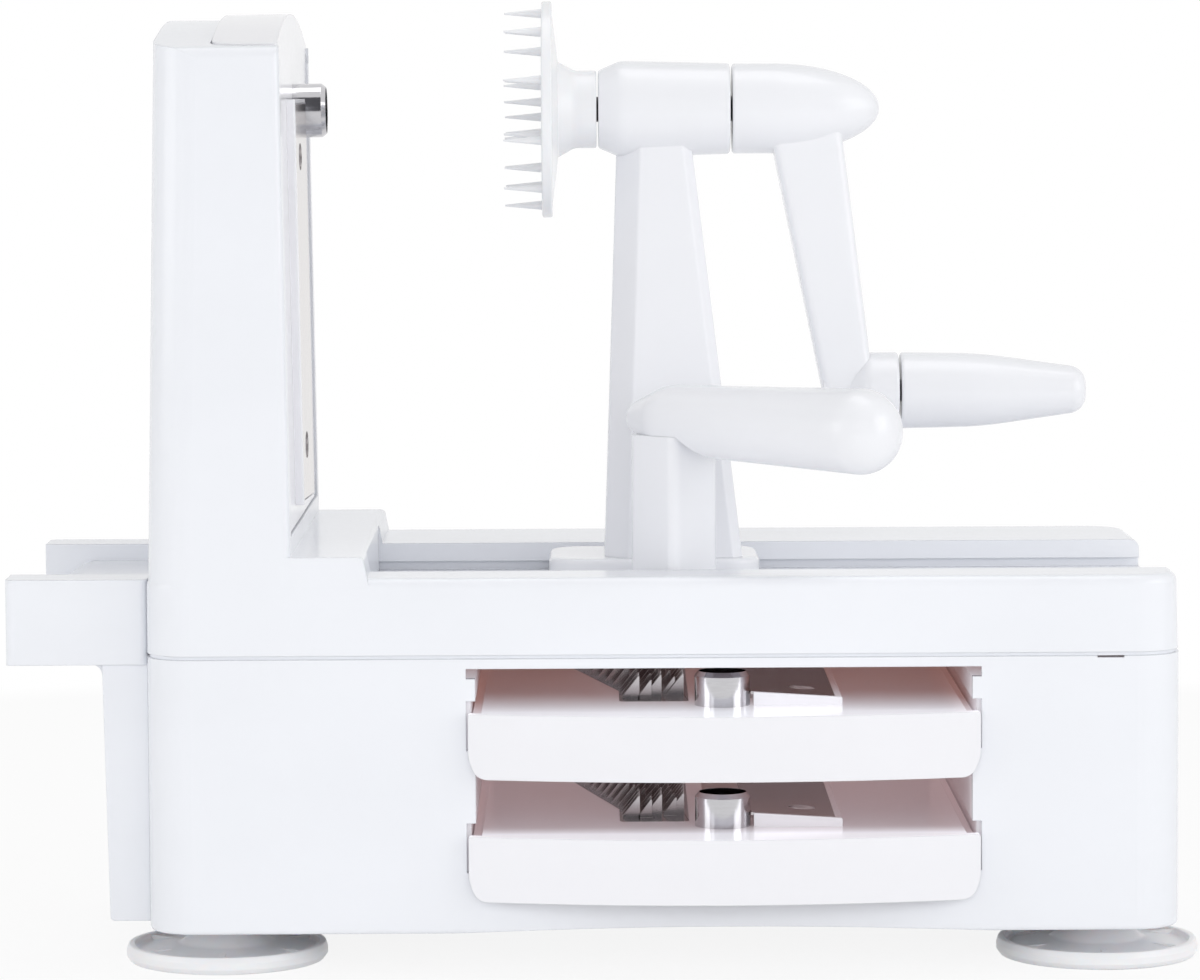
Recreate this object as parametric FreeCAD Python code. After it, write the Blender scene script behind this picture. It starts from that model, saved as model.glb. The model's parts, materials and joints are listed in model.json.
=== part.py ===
import FreeCAD, Part
import math
import os

# Hand-cranked spiralizer, millimetres, +Z up, +X towards the crank, -Y towards the user.
# Every piece is drawn with the crank's plane at y = 0 and is moved by plane_y when it is saved,
# so that the origin lies on the ground under the middle of the whole object.

# ---------------------------------------------------------------- sizes that can be set

# base
base_length = 270.0        # lower base, along X
base_bottom = 11.0         # underside of the base above the table
corner_radius = 12.0       # upright corners of base and housing
wall = 2.8                 # moulded walls
rim_radius = 1.2           # rounded lower edge of the base
rim_arch = 1.6             # rise of the arch in the base's lower front and back rims
rim_arch_length = 141.0
opening_drop = 2.6         # top of the drawer opening below the parting line
pry_slit_inset = 15.4      # slit for prying the housing off, from the base's right end
pry_slit_length = 7.0
pry_slit_height = 0.45

# stored cassettes
lower_face_rise = 26.0     # lower cassette's face above the base's underside
drawer_pitch = 32.0        # from the lower cassette's face to the upper one's
drawer_headroom = 14.0     # upper cassette's face to the parting line
drawer_inset = 52.95       # lips' right ends from the base's right end
lip_stand = 0.3            # ends of the lips clear of the base's front
drawer_room = 11.8         # behind the guides' back stops
guide_gap = 1.6            # cassette plate to the guide, and to the mouth's side
guide_wall = 4.7
guide_fit = 0.2            # guide to the walls around it
guide_headroom = 8.3       # guide's top above the upper cassette's face
groove_top = 3.0           # rail groove's top above the cassette's face
mouth_notch = 0.5          # notches in the mouth's sides, past the lips' ends
mouth_notch_height = 2.6   # of the two in its upper corners
guide_rib = 2.2            # back stop behind the rails

# housing
housing_height = 21.0      # parting line to the top of the two shoulders
deck_end_inset = 0.1       # the housing ends this much short of the base
housing_draft = 0.6        # its right end leans in by this much
deck_edge_radius = 2.4     # rounded top edge of the deck
seam_height_gap = 0.95     # recessed groove along the parting line
seam_depth = 0.7

# channel that the carriage runs in
channel_front = 20.0       # front shoulder, front to back
channel_back = 44.0        # back shoulder, front to back
channel_drop = 7.6
undercut = 2.0             # groove under each shoulder that holds the carriage down
undercut_height = 2.5
slide_clearance = 0.3

# tower
tower_length = 38.6        # tower along X at the parting line
tower_draft = 0.78         # degrees, lean of the inner face and of the cassette in it
tower_lean = 3.5           # the outer face leans in by this much over the tower's height
tower_side = 4.1           # tower past the ends of the lip in it
tower_slope = 7.9          # fall of its bowed top to the front and back
crest_edge_radius = 3.0
tower_edge_radius = 2.0
foot_step_length = 18.5    # raised step between tower and channel
foot_step_height = 5.7
foot_step_lean = 1.6
foot_step_radius = 1.5
passage_width = 112.0      # opening that the strands leave by
passage_header = 13.4      # tower crest to the top of the passage
passage_sill = 3.0         # passage's bottom above the cassette's foot
passage_radius = 10.0
seat_rise = 10.4           # ledge that the cassette stands on, above the deck
face_recess = 0.6          # cassette's face behind the tower's inner face
lip_proud = 1.6            # the tower's lip stands this much above the crest

# blade cassette
lip_width = 133.0
lip_height = 17.0
lip_wall = 3.0
lip_bow_radius = 270.0
lip_side = 11.5            # straight upright side of the lip
lip_taper = 2.2            # lower corners draw in by this much
lip_side_radius = 9.0
lip_corner_radius = 4.0
lip_edge_radius = 0.8
lip_overhang = 3.5         # lip's end past the plate's side
cassette_length = 136.2
plate_wall = 3.0
plate_radius = 5.0
skirt_height = 9.6
skirt_wall = 2.5
rail_reach = 2.5           # side rails outside the plate
rail_drop = 1.6            # below the plate's face
rail_start = 16.0
rail_end_inset = 4.0
rail_radius = 0.7
cassette_clearance = 0.4
slot_clearance = 1.6       # under the lip, in the tower's slot

# coring ring and blade
ring_station = 26.2        # from a lip's crest to its ring's axis
ring_radius = 7.3
ring_wall = 1.1
ring_rise = 9.0            # above the plate's face
ring_depth = 8.0           # below it
ring_bevel = 1.2
ring_edge = 0.15           # flat left on the bevelled rim
ring_boss = 2.6            # wall of the boss that holds the ring
ring_gap = 0.3             # between the ring and the blade notched round it
ramp_side = 31.4           # outer side of the blade's ridge, from the ring's axis
ramp_start = 23.0          # ridge, from the lip's crest
ramp_end_inset = 5.2       # and from the cassette's back end
ramp_height = 2.2          # at its outer side
ramp_cap = 1.0             # end walls of the ridge
blade_side = 29.5          # low edge of the blade, from the ring's axis
blade_edge = 5.5           # cutting edge, from the ring's axis
blade_rise = 3.8           # cutting edge above the plate's face
blade_wall = 0.8
blade_bevel = 1.6
blade_overhang = 2.6       # cutting edge past the end of its ramp
blade_end_gap = 0.35       # blade's ends to the ridge's end walls
blade_hole_radius = 3.6
blade_hole_side = 21.3     # blade's holes, from the ring's axis
blade_hole_inset = 14.0    # and from its ends
throat_width = 12.0        # slot that the strands pass through
throat_radius = 2.0
throat_start = 5.0         # from the ring

# comb blade
comb_wall = 0.6
comb_front = 33.0          # from the lip's crest
comb_back_inset = 10.2     # from the cassette's back end
comb_bend = 55.0           # where its left edge starts to flare
comb_inner_front = -8.6    # right edge, front and back
comb_inner_back = -15.4
comb_outer_front = -27.0   # left edge, front and back
comb_outer_back = -44.0
comb_radius = 1.5
row_left_margin = 6.8      # left row of teeth, from the comb's left edge
row_right_margin = 4.2     # right row, from its right edge
row_inset = 7.0            # first and last tooth from the comb's ends
tooth_width = 3.6
tooth_height = 4.8
tooth_root = 0.5           # upright start of the sloping side
tooth_tip = 0.35           # width of the point
tooth_slot = 2.4           # window that each tooth is bent up from
slot_share = 0.84          # its width, to the tooth's
relief_width = 3.2         # slot in the plate under each row
relief_inset = 5.0
coarse_pitch = 14.0
fine_pitch = 7.0

# suction feet
foot_radius = 26.7
foot_rim_height = 4.6
foot_rim_wall = 1.7
foot_rim_edge = 0.5
foot_seal = 2.6            # soft sealing lip round the underside
foot_left_inset = 18.9     # left feet, axis from the base's left end
foot_right_inset = 19.5    # right feet, axis from the base's right end
foot_depth_inset = 28.5    # feet, axis from the base's front and back
foot_neck_radius = 7.5
foot_neck_height = 2.4
foot_stud_radius = 4.2
foot_stud_reach = 5.6      # stud above the base's floor
foot_hollow = 1.4
foot_web = 1.6             # rubber over the hollow
foot_cone = 5.0            # flare of the neck
foot_ribs = 6
foot_rib_wall = 1.6
socket_wall = 2.4
socket_height = 5.0

# outlet chute
chute_reach = 37.5         # free end to the base's left end
chute_width = 114.0
chute_drop = 1.2           # rim below the shoulders
chute_flange = 22.5
chute_wall = 2.6
chute_rim = 15.0
chute_depth = 4.6          # floor below the rim
chute_fall = 12.0          # the floor falls by this much at the free end
chute_fall_length = 12.0
chute_fall_radius = 9.0
chute_corner = 2.0
leg_length = 12.0
leg_taper = 1.5            # the leg's left face leans in by this much
leg_rise = 1.4             # its foot above the base's underside
leg_inset = 1.0
leg_corner = 1.2
chute_fillet = 3.0
chute_gap = 0.3
pocket_inset = 3.0         # lightening pockets to the leg's edges
hook_neck = 4.0
hook_head = 10.0
hook_wall = 2.2
hook_spread = 35.0
hook_rise = 9.0            # hooks' foot above the base's underside
hook_drop = 7.0            # hooks' top below the parting line

# carriage
carriage_length = 57.1
carriage_start = 104.9     # rest place: carriage's left end from the base's left end
carriage_plate = 2.4
carriage_float = 0.1       # plate above the channel floor
carriage_corner = 3.0
pad_depth = 39.0
pad_height = 7.4           # pad's top above the channel floor
pad_radius = 9.0
pad_edge_radius = 1.6

# crank post
post_bottom_length = 37.3
post_top_length = 18.8
post_inset = 15.1          # post's left edge from the carriage's left end
post_lean = 4.2            # its left edge leans right by this much
post_bottom_depth = 36.0
post_top_depth = 14.0
post_bevel = 6.3           # bevels of its left corners
post_right_bevel = 2.5     # and of its right ones
post_corner = 1.0
barrel_start = 14.0        # barrel's left end from the carriage's left end
barrel_length = 35.7
barrel_radius = 13.1
barrel_end_radius = 12.3
barrel_nose_radius = 10.5
barrel_nose_length = 6.0
barrel_nose_round = 7.0
barrel_edge_radius = 0.8
shaft_radius = 3.4
shaft_flat = 0.7           # half width across the shaft's flats, to its radius
shaft_room = 1.0           # barrel's bore clear of the shaft between the bushes
shaft_seat = 24.0          # shaft inside the crank's hub
bush_radius = 5.4
bush_length = 9.0
bush_flange_radius = 8.0
bush_flange = 1.2
running_clearance = 0.05
disc_gap = 0.5             # between the barrel and the disc's hub
hub_gap = 0.6              # between the barrel and the crank's hub

# spiked disc
disc_radius = 29.3
disc_wall = 2.8
disc_cone = 1.6
disc_rim = 3.0             # cylindrical margin behind the face
disc_flare_radius = 13.0
disc_hub_radius = 10.5
disc_hub_length = 6.0
disc_flare_length = 4.4
disc_flare_round = 4.0
disc_edge_radius = 0.5
spike_length = 10.1
spike_radius = 1.3
spike_tip_radius = 0.25
spike_root = 0.4           # base of a spike inside the disc
spike_rings = ((10, 26.0, 0.0), (8, 17.0, 22.5), (4, 8.0, 15.0))  # count, radius, first angle

# crank
hub_radius = 12.2
hub_straight = 11.0
hub_length = 40.1
hub_edge_radius = 0.8
arm_top_width = 20.0
arm_bottom_width = 14.0
arm_top_start = 8.9        # arm's left edge from the hub's left end, at the axis
arm_lean = 15.6            # shift of the left edge from crank axis to grip axis
arm_depth = 15.6
arm_end_depth = 13.0
arm_corner = 2.6
crank_radius = 77.0        # crank axis to grip axis
boss_radius = 10.4
boss_flare = 5.0
boss_round = 4.0
boss_end = 45.1            # boss face from the hub's left end
grip_gap = 0.6
grip_length = 50.7
grip_radius = 10.4
grip_crown_start = 22.0    # where the grip begins to narrow
grip_crown_drop = 0.4
grip_crown_round = 110.0
grip_tip_radius = 5.9
grip_tip_round = 4.8
axle_radius = 3.0
axle_depth = 9.0
axle_reach = 34.0
axle_head_radius = 4.6
axle_head = 2.0
axle_play = 0.3

# side handle
handle_post_side = 17.2    # square post, turned with the bar
handle_post_edge = 2.6
handle_post_station = 33.4  # post's axis from the carriage's left end
handle_post_inset = 31.6   # post's axis from the base's front
handle_rise = 38.9         # bar's axis above the shoulders
handle_seat = 3.9          # top of the post below the bar's axis
handle_peg_radius = 5.0
handle_peg_height = 5.0
handle_angle = 46.0        # degrees, bar swung towards the user
handle_length = 67.0       # post's axis to the middle of the ball end
handle_ball_radius = 11.0
handle_ball_round = 10.4
handle_neck_radius = 9.2
handle_neck_round = 14.0
handle_neck_place = -1.0   # end of the tail's curve, from the post's axis
handle_tail = 15.0
handle_tail_radius = 3.6
handle_tail_round = 3.0
handle_notch_gap = 0.6     # notch to the post's side
handle_notch_slope = 7.0

# screws
screw_radius = 1.6
screw_play = 0.15
screw_head_radius = 3.0
screw_head = 2.0
head_play = 0.3
head_recess = 0.6
flat_head = 1.0            # thin head of the side handle's screw
flat_recess = 0.4
housing_screw_length = 16.0
housing_screw_grip = 3.0   # base left under the parting line at each screw
post_screw_length = 14.0
handle_screw_length = 12.0
screw_point_room = 2.0     # pilot hole past the screw's point
post_screw_near = 11.0     # two columns of screws, from the post's left edge
post_screw_far = 27.0
post_screw_row = 10.0
pillar_radius = 4.6
pillar_bore = 3.3
pillar_inset = 3.0         # pillars to the walls
pillar_side = 14.0         # pillars beside the drawers, from the lips' ends

past = 5.0                 # cutters run on by this much outside the face they cut
root = 0.5                 # added pieces run into the wall that carries them by this much
skin = 0.02                # the foot step's ends stay this much inside the housing's faces
pick = 0.01                # an edge this close to a face lies on it

# ---------------------------------------------------------------- places worked out from them

foot_overhang = foot_radius - foot_right_inset
total_length = chute_reach + base_length + foot_overhang
left_end = -total_length / 2
base_left = left_end + chute_reach
base_right = base_left + base_length
lip_bow = lip_bow_radius - math.sqrt(lip_bow_radius ** 2 - (lip_width / 2) ** 2)
drawer_stand = lip_wall + lip_stand   # ends of the lips' fronts in front of the base
stop_reach = cassette_length - lip_bow - drawer_stand + cassette_clearance   # base's front to the back stops
stored_depth = stop_reach + guide_rib + drawer_room + guide_fit + wall
base_depth = max(stored_depth, lip_width + 2 * (cassette_clearance + tower_side))
front = -base_depth / 2
back = base_depth / 2
handle_swing = math.radians(handle_angle)
handle_reach = handle_length * math.sin(handle_swing) + handle_ball_radius - handle_post_inset
plane_y = handle_reach / 2           # crank's plane, once the origin is under the middle
base_floor = base_bottom + wall

lower_face = base_bottom + lower_face_rise
upper_face = lower_face + drawer_pitch
seam_height = upper_face + drawer_headroom
deck_height = seam_height + housing_height
opening_top = seam_height - opening_drop
drawer_middle = base_right - drawer_inset - lip_width / 2
plate_width = lip_width - 2 * lip_overhang
rail_edge = plate_width / 2 + rail_reach
mouth_side = plate_width / 2 + guide_gap
ramp_end = cassette_length - ramp_end_inset
comb_back = cassette_length - comb_back_inset
drawer_crest = front - drawer_stand - lip_bow   # crest of a stored cassette's lip

channel_floor = deck_height - channel_drop
channel_low = front + channel_front
channel_high = back - channel_back
housing_right = base_right - deck_end_inset

tower_tilt = math.radians(tower_draft)
tower_right = base_left + tower_length
step_end = tower_right + foot_step_length
step_top = deck_height + foot_step_height
cassette_foot = deck_height + seat_rise + cassette_clearance
crank_height = cassette_foot + (cassette_length - ring_station) * math.cos(tower_tilt)
cassette_crest = crank_height + ring_station * math.cos(tower_tilt)
tower_crest = cassette_crest - lip_proud
passage_top = tower_crest - passage_header
tower_foot_ceiling = cassette_foot - cassette_clearance - wall

carriage_left = base_left + carriage_start
carriage_right = carriage_left + carriage_length
pad_top = channel_floor + pad_height
barrel_left = carriage_left + barrel_start
barrel_right = barrel_left + barrel_length
hub_left = barrel_right + hub_gap
disc_back = barrel_left - disc_gap - disc_hub_length
disc_flare = disc_back - disc_flare_length
disc_face = disc_flare - disc_cone - disc_wall
grip_height = crank_height - crank_radius
boss_face = hub_left + boss_end
grip_left = boss_face + grip_gap
axle_shoulder = grip_left + axle_reach
handle_x = carriage_left + handle_post_station
handle_y = front + handle_post_inset
handle_height = deck_height + handle_rise
handle_post_top = handle_height - handle_seat

foot_left_x = base_left + foot_left_inset
foot_right_x = base_right - foot_right_inset
foot_y = back - foot_depth_inset

chute_top = deck_height - chute_drop
chute_floor = chute_top - chute_depth
chute_right = base_left - chute_gap
leg_bottom = base_bottom + leg_rise
hook_bottom = base_bottom + hook_rise
hook_top = seam_height - hook_drop


def inner_face(z):
    """Place along X of the tower's leaning inner face, at a height."""
    return tower_right - (z - seam_height) * math.tan(tower_tilt)


cassette_x = inner_face(crank_height) - face_recess   # face of the tower's cassette, at the crank's height


# ---------------------------------------------------------------- drawing helpers

def vec(x, y, z):
    return FreeCAD.Vector(x, y, z)


def block(x0, x1, y0, y1, z0, z1):
    return Part.makeBox(x1 - x0, y1 - y0, z1 - z0, vec(x0, y0, z0))


def rod_x(x0, x1, radius, y=0.0, z=0.0):
    return Part.makeCylinder(radius, x1 - x0, vec(x0, y, z), vec(1, 0, 0))


def rod_z(z0, z1, radius, x=0.0, y=0.0):
    return Part.makeCylinder(radius, z1 - z0, vec(x, y, z0), vec(0, 0, 1))


def on_xy(z):
    return lambda u, v: vec(u, v, z)


def on_xz(y):
    return lambda u, v: vec(u, y, v)


def on_yz(x):
    return lambda u, v: vec(x, u, v)


def outline(corners, place):
    """Closed wire through (u, v, radius) corners, each rounded by its radius."""
    count = len(corners)
    rounds = []
    for i in range(count):
        u, v, radius = corners[i]
        here = vec(u, v, 0)
        before = vec(corners[i - 1][0], corners[i - 1][1], 0).sub(here)
        after = vec(corners[(i + 1) % count][0], corners[(i + 1) % count][1], 0).sub(here)
        before.normalize()
        after.normalize()
        half = before.getAngle(after) / 2
        middle = before.add(after)
        if radius <= 0 or middle.Length < 1e-9:
            rounds.append((here, None, here))
            continue
        middle.normalize()
        reach = radius / math.tan(half)
        top = here + middle * (radius / math.sin(half) - radius)
        rounds.append((here + before * reach, top, here + after * reach))
    edges = []
    for i in range(count):
        start, top, end = rounds[i]
        if top is not None:
            arc = [place(p.x, p.y) for p in (start, top, end)]
            edges.append(Part.Arc(*arc).toShape())
        following = rounds[(i + 1) % count][0]
        if following.sub(end).Length > 1e-6:
            edges.append(Part.LineSegment(place(end.x, end.y), place(following.x, following.y)).toShape())
    return Part.Wire(edges)


def prism(corners, place, along):
    return Part.Face(outline(corners, place)).extrude(along)


def plan_corners(x0, x1, y0, y1, r_left, r_right):
    return [(x0, y0, r_left), (x1, y0, r_right), (x1, y1, r_right), (x0, y1, r_left)]


def rounded_block(x0, x1, y0, y1, z0, z1, radius):
    return prism(plan_corners(x0, x1, y0, y1, radius, radius), on_xy(z0), vec(0, 0, z1 - z0))


def turned(corners, height, y=0.0):
    """Solid of revolution about a line along X; the corners are (x, r, radius)."""
    face = Part.Face(outline(corners, lambda u, v: vec(u, y, height + v)))
    return face.revolve(vec(0, y, height), vec(1, 0, 0), 360)


def turned_upright(corners, x, y):
    """Solid of revolution about an upright line; the corners are (r, z, radius)."""
    face = Part.Face(outline(corners, lambda u, v: vec(x + u, y, v)))
    return face.revolve(vec(x, y, 0), vec(0, 0, 1), 360)


def spanned(low, high):
    """Solid between two outlines with matching corners, joined edge by edge."""
    sides = [Part.makeRuledSurface(a, b) for a, b in zip(low.OrderedEdges, high.OrderedEdges)]
    shell = Part.makeShell(sides + [Part.Face(low), Part.Face(high)])
    shell.sewShape()
    solid = Part.makeSolid(shell)
    if solid.Volume < 0:
        solid.reverse()
    return solid


def fused(shapes):
    return shapes[0].multiFuse(shapes[1:]).removeSplitter()


def without(shape, cutters):
    return shape.cut(cutters)


# ---------------------------------------------------------------- base

def housing_screw_places():
    left = base_left + wall + pillar_radius + pillar_inset
    near = drawer_middle - lip_width / 2 - pillar_side
    far = drawer_middle + lip_width / 2 + pillar_side
    side = back - wall - pillar_radius - pillar_inset
    return [(x, y) for x in (left, near, far) for y in (-side, side)]


def foot_places():
    return [(x, y) for x in (foot_left_x, foot_right_x) for y in (-foot_y, foot_y)]


def lip_corners(low, high, clearance):
    """Front view of a cassette's lip, or of an opening round it, between two heights."""
    half = lip_width / 2 + clearance
    drawn = half - lip_taper
    side = low + lip_height - lip_side
    return [(-drawn, low, lip_corner_radius), (drawn, low, lip_corner_radius), (half, side, lip_side_radius),
            (half, high, lip_edge_radius), (-half, high, lip_edge_radius), (-half, side, lip_side_radius)]


def lower_base():
    shell = rounded_block(base_left, base_right, front, back, base_bottom, seam_height, corner_radius)
    bottom_edges = [e for e in shell.Edges if e.BoundBox.ZMax < base_bottom + pick]
    shell = shell.makeFillet(rim_radius, bottom_edges)
    inside = rounded_block(base_left + wall, base_right - wall, front + wall, back - wall,
                           base_floor, seam_height + past, corner_radius - wall)
    arch_radius = (rim_arch_length ** 2 / 4 + rim_arch ** 2) / (2 * rim_arch)
    arch_centre = vec(drawer_middle, front - past, base_bottom + rim_arch - arch_radius)
    arch = Part.makeCylinder(arch_radius, base_depth + 2 * past, arch_centre, vec(0, 1, 0))
    slit_right = base_right - pry_slit_inset
    slit = block(slit_right - pry_slit_length, slit_right, front - past, front + wall + past,
                 seam_height - pry_slit_height, seam_height + past)
    shell = without(shell, [inside, drawer_mouth(), arch, slit])
    pillars = [rod_z(base_floor - root, seam_height, pillar_radius, x, y) for x, y in housing_screw_places()]
    sockets = [rod_z(base_floor - root, base_floor + socket_height, foot_stud_radius + socket_wall, x, y)
               for x, y in foot_places()]
    shell = fused([shell] + pillars + sockets + chute_hooks())
    grip_bottom = seam_height - housing_screw_grip
    bores = [rod_z(base_bottom - past, grip_bottom, pillar_bore, x, y) for x, y in housing_screw_places()]
    bores += [rod_z(grip_bottom - root, seam_height + past, screw_radius + screw_play, x, y)
              for x, y in housing_screw_places()]
    bores += [rod_z(base_bottom - past, base_floor + socket_height + past, foot_stud_radius, x, y)
              for x, y in foot_places()]
    return without(shell, bores)


def drawer_mouth():
    """Cutter for the opening behind the lips, notched for the rails and at its upper corners."""
    notch = lip_width / 2 + mouth_notch
    levels = [(mouth_side, lower_face - skirt_height - cassette_clearance, opening_top),
              (notch, opening_top - mouth_notch_height, opening_top)]
    for face in (lower_face, upper_face):
        levels.append((notch, face - skirt_height - cassette_clearance, face + groove_top))
    far = front + wall + root
    return fused([block(drawer_middle - half, drawer_middle + half, front - past, far, low, high)
                  for half, low, high in levels])


def chute_hooks():
    """Two T-shaped rails on the left wall that the chute slides down on."""
    hooks = []
    neck = base_left - chute_gap - hook_wall
    half_neck = hook_neck / 2
    half_head = hook_head / 2
    for y in (-hook_spread, hook_spread):
        hooks.append(block(neck, base_left + root, y - half_neck, y + half_neck, hook_bottom, hook_top))
        hooks.append(block(neck - hook_wall, neck, y - half_head, y + half_head, hook_bottom, hook_top))
    return hooks


def drawer_guide(side):
    """Thick wall beside the drawers, grooved for each cassette's rail and stopped at the back."""
    inner = mouth_side
    rail = rail_edge + cassette_clearance
    low = base_floor
    top = upper_face + guide_headroom
    near = front + wall + guide_fit
    far = back - wall - guide_fit
    stop = front + stop_reach
    body = fused([block(inner, inner + guide_wall, near, far, low, top),
                  block(inner - guide_rib, inner + root, stop, stop + guide_rib, low, top)])
    grooves = [block(inner - root, rail, near - root, stop, face - skirt_height - cassette_clearance,
                     face + groove_top) for face in (lower_face, upper_face)]
    guide = without(body, grooves)
    if side < 0:
        guide = guide.mirror(vec(0, 0, 0), vec(1, 0, 0))
    guide.translate(vec(drawer_middle, 0, 0))
    return guide


def suction_foot(x, y):
    rim = foot_radius - foot_rim_wall
    neck = foot_neck_radius
    web = foot_hollow + foot_web
    seal = foot_radius - foot_seal
    stud_top = base_floor + foot_stud_reach
    edge = foot_rim_edge
    corners = [(0, web, 0), (seal - edge, foot_hollow, edge), (seal, 0, edge / 2),
               (foot_radius - 2 * edge, 0, edge), (foot_radius, foot_hollow, edge),
               (foot_radius, foot_rim_height - foot_web, edge), (foot_radius - edge, foot_rim_height, edge),
               (rim - edge, foot_rim_height, edge), (rim - 2 * edge, web, 2 * edge),
               (neck + foot_cone, web + foot_web, foot_cone / 2),
               (neck, base_bottom - foot_neck_height, edge), (neck, base_bottom, 0),
               (foot_stud_radius, base_bottom, 0), (foot_stud_radius, stud_top, edge), (0, stud_top, 0)]
    cup = turned_upright(corners, x, y)
    ribs = []
    for turn in range(foot_ribs):
        rib = block(neck - root, rim - edge, -foot_rib_wall / 2, foot_rib_wall / 2, web - edge,
                    foot_rim_height - edge)
        rib.rotate(vec(0, 0, 0), vec(0, 0, 1), (turn + 0.5) * 360.0 / foot_ribs)
        rib.translate(vec(x, y, 0))
        ribs.append(rib)
    return fused([cup] + ribs)


# ---------------------------------------------------------------- upper housing

def upper_housing():
    """Deck with its channel and shoulders, step and tower, one moulding open underneath."""
    low = plan_corners(base_left, housing_right, front, back, corner_radius, corner_radius)
    high = plan_corners(base_left, housing_right - housing_draft, front, back, corner_radius, corner_radius)
    deck = spanned(outline(low, on_xy(seam_height)), outline(high, on_xy(deck_height)))
    top_edges = [e for e in deck.Edges if e.BoundBox.ZMin > deck_height - pick]
    deck = deck.makeFillet(deck_edge_radius, top_edges)
    body = fused([deck, foot_step(), tower_block()])
    bosses = [rod_z(seam_height, tower_foot_ceiling, pillar_radius, x, y) for x, y in housing_screw_places()]
    hollows = fused([deck_hollow()] + post_hollows()).cut(bosses)
    body = without(body, [seam_groove(), hollows, channel(), cassette_slot()])
    pilot_top = seam_height - housing_screw_grip + housing_screw_length + screw_point_room
    return without(body, [rod_z(seam_height - past, pilot_top, screw_radius, x, y)
                          for x, y in housing_screw_places()])


def foot_step():
    """Raised step between the tower's foot and the channel."""
    left = base_left + corner_radius
    right = step_end + foot_step_lean
    bottom = deck_height - wall
    return prism([(left, bottom, 0), (right, bottom, 0), (step_end, step_top, foot_step_radius),
                  (left, step_top, 0)], on_xz(front + skin), vec(0, base_depth - 2 * skin, 0))


def tower_block():
    """Tower outside: leaning plan section, its top bowed in line with the lip of the cassette in it."""
    top = tower_crest + past
    top_left = base_left + tower_lean * (top - seam_height) / (tower_crest - seam_height)
    low = plan_corners(base_left, tower_right, front, back, corner_radius, tower_edge_radius)
    high = plan_corners(top_left, inner_face(top), front, back, corner_radius, tower_edge_radius)
    plan = spanned(outline(low, on_xy(seam_height)), outline(high, on_xy(top)))
    shoulder = tower_crest - tower_slope
    bow = lip_bow_radius - lip_proud
    turn = math.atan2(back, bow - tower_slope) - math.acos(bow / math.hypot(back, bow - tower_slope))
    apex = tower_crest + bow * (1 / math.cos(turn) - 1)
    side = prism([(front, seam_height, 0), (back, seam_height, 0), (back, shoulder, crest_edge_radius),
                  (0, apex, bow), (front, shoulder, crest_edge_radius)],
                 on_yz(base_left - past), vec(tower_length + 2 * past, 0, 0))
    return plan.common(side)


def seam_groove():
    depth = seam_depth
    outside = block(base_left - past, base_right + past, front - past, back + past, seam_height - past,
                    seam_height + seam_height_gap)
    core = rounded_block(base_left + depth, housing_right - depth, front + depth, back - depth,
                         seam_height - 2 * past, seam_height + past, corner_radius - depth)
    return outside.cut(core)


def channel():
    right = base_right + past
    low, high = channel_low, channel_high
    return fused([block(step_end, right, low, high, channel_floor, deck_height + past),
                  block(step_end, right, low - undercut, high + undercut, channel_floor,
                        channel_floor + undercut_height)])


def deck_hollow():
    """Space under the deck, its shoulders and the tower's foot, open at the parting line."""
    left = base_left + wall
    right = housing_right - housing_draft - wall
    near, far = front + wall, back - wall
    radius = corner_radius - wall
    low = seam_height - past
    spaces = [rounded_block(left, right, near, far, low, channel_floor - wall, radius)]
    core = rounded_block(left, right, near, far, low, deck_height - wall, radius)
    for y0, y1 in ((near, channel_low - undercut - wall), (channel_high + undercut + wall, far)):
        space = rounded_block(tower_right, right, y0, y1, low, deck_height - wall, pillar_inset)
        spaces.append(space.common(core))
    spaces.append(rounded_block(left + tower_lean / 2, tower_right - wall, near, far, low,
                                tower_foot_ceiling, radius))
    spaces.append(block(tower_right - 2 * wall, step_end - wall, near, far, low, step_top - wall))
    return fused(spaces)


def post_hollows():
    """Lightening of the tower's two posts, open at the parting line."""
    left = base_left + tower_lean + wall
    right = inner_face(passage_top) - skirt_height - wall - face_recess
    middle = passage_width / 2 + wall
    low = seam_height - past
    high = passage_top - passage_radius
    corners = plan_corners(left, right, front + wall, back - wall, corner_radius - wall, tower_edge_radius)
    both = prism(corners, on_xy(low), vec(0, 0, high - low))
    return both.cut(block(left - past, right + past, -middle, middle, low - past, high + past)).Solids


def cassette_slot():
    """Passage for the strands, with the slot and grooves that the cassette drops into."""
    gap = cassette_clearance
    half = passage_width / 2
    above = -lip_bow - past
    seat = cassette_length + gap
    deep = -tower_length - past
    passage_high = (cassette_crest - passage_top) / math.cos(tower_tilt)
    passage_low = cassette_length - passage_sill
    passage = prism([(-half, passage_high, passage_radius), (half, passage_high, passage_radius),
                     (half, passage_low, passage_radius), (-half, passage_low, passage_radius)],
                    on_xy(deep), vec(0, 0, past - deep))
    side = plate_width / 2 + gap
    plate_slot = block(-side, side, above, seat, -rail_drop, past)
    rail_half = rail_edge + gap
    groove = block(-rail_half, rail_half, above, seat, -skirt_height - gap, -rail_drop + gap)
    lip_bottom = lip_bow + lip_wall + slot_clearance
    lip_outline = lip_corners(-lip_height - gap, past, gap)
    lip_slot = prism(lip_outline, on_xz(above), vec(0, lip_bottom - above, 0))
    return installed(fused([passage, plate_slot, groove, lip_slot]))


# ---------------------------------------------------------------- blade cassettes
# A cassette is drawn lying flat: x across, y from the crest of its lip to the back, z = 0 on its face.

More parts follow.
